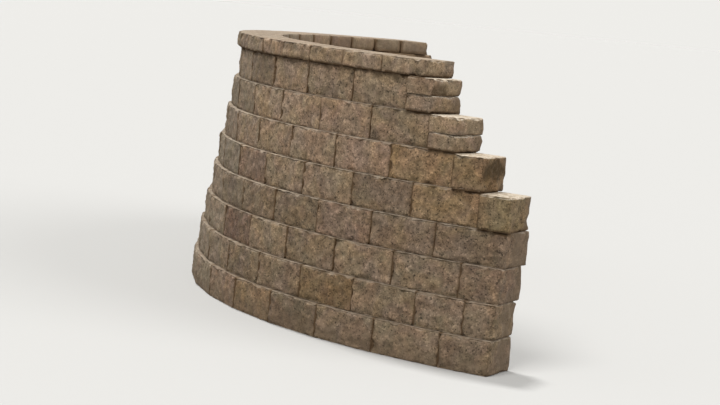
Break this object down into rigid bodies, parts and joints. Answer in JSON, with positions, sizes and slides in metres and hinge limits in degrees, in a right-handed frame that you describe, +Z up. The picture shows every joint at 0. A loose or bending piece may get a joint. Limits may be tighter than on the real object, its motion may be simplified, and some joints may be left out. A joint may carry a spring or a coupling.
{
  "type": "curved garden retaining wall of split-face concrete blocks",
  "caption": "Curved, battered garden retaining wall of dry-stacked split-face concrete blocks, with a cap course and ends that step down.",
  "frame": {"origin": "on the ground, at the centre of the wall's outline in plan", "axes": "+Z up, -Y out of the nose of the curve, +X along the chord between the two stepped ends"},
  "size_m": [6.0178, 2.1016, 1.7272],
  "materials": {
    "lower_blocks": "rough split concrete, damp and mossy",
    "upper_blocks": "rough split concrete, mixed tan",
    "end_units": "rough split concrete, stained",
    "cap_units": "split front with a smoother top"
  },
  "bodies": {
    "root": {"base_course_left": "lower_blocks", "base_course_nose": "lower_blocks", "base_course_right": "lower_blocks", "course_2_left": "lower_blocks", "course_2_nose": "lower_blocks", "course_2_right": "lower_blocks", "course_3_left": "lower_blocks", "course_3_nose": "lower_blocks", "course_3_right": "lower_blocks", "course_4_left": "upper_blocks", "course_4_nose": "upper_blocks", "course_4_right": "upper_blocks", "course_5_left": "upper_blocks", "course_5_nose": "upper_blocks", "course_5_right": "upper_blocks", "course_6_left": "upper_blocks", "course_6_nose": "upper_blocks", "course_6_right": "upper_blocks", "course_7_left": "upper_blocks", "course_7_nose": "upper_blocks", "course_7_right": "upper_blocks", "course_8_left": "upper_blocks", "course_8_nose": "upper_blocks", "course_8_right": "upper_blocks", "course_5_left_end": "end_units", "course_5_right_end": "end_units", "course_6_left_end": "end_units", "course_6_right_end": "end_units", "course_7_left_end_lower": "end_units", "course_7_left_end_upper": "end_units", "course_7_right_end_lower": "end_units", "course_7_right_end_upper": "end_units", "course_8_left_end_lower": "end_units", "course_8_left_end_upper": "end_units", "course_8_right_end_lower": "end_units", "course_8_right_end_upper": "end_units", "cap_left": "cap_units", "cap_nose": "cap_units", "cap_right": "cap_units"}
  },
  "joints": []
}
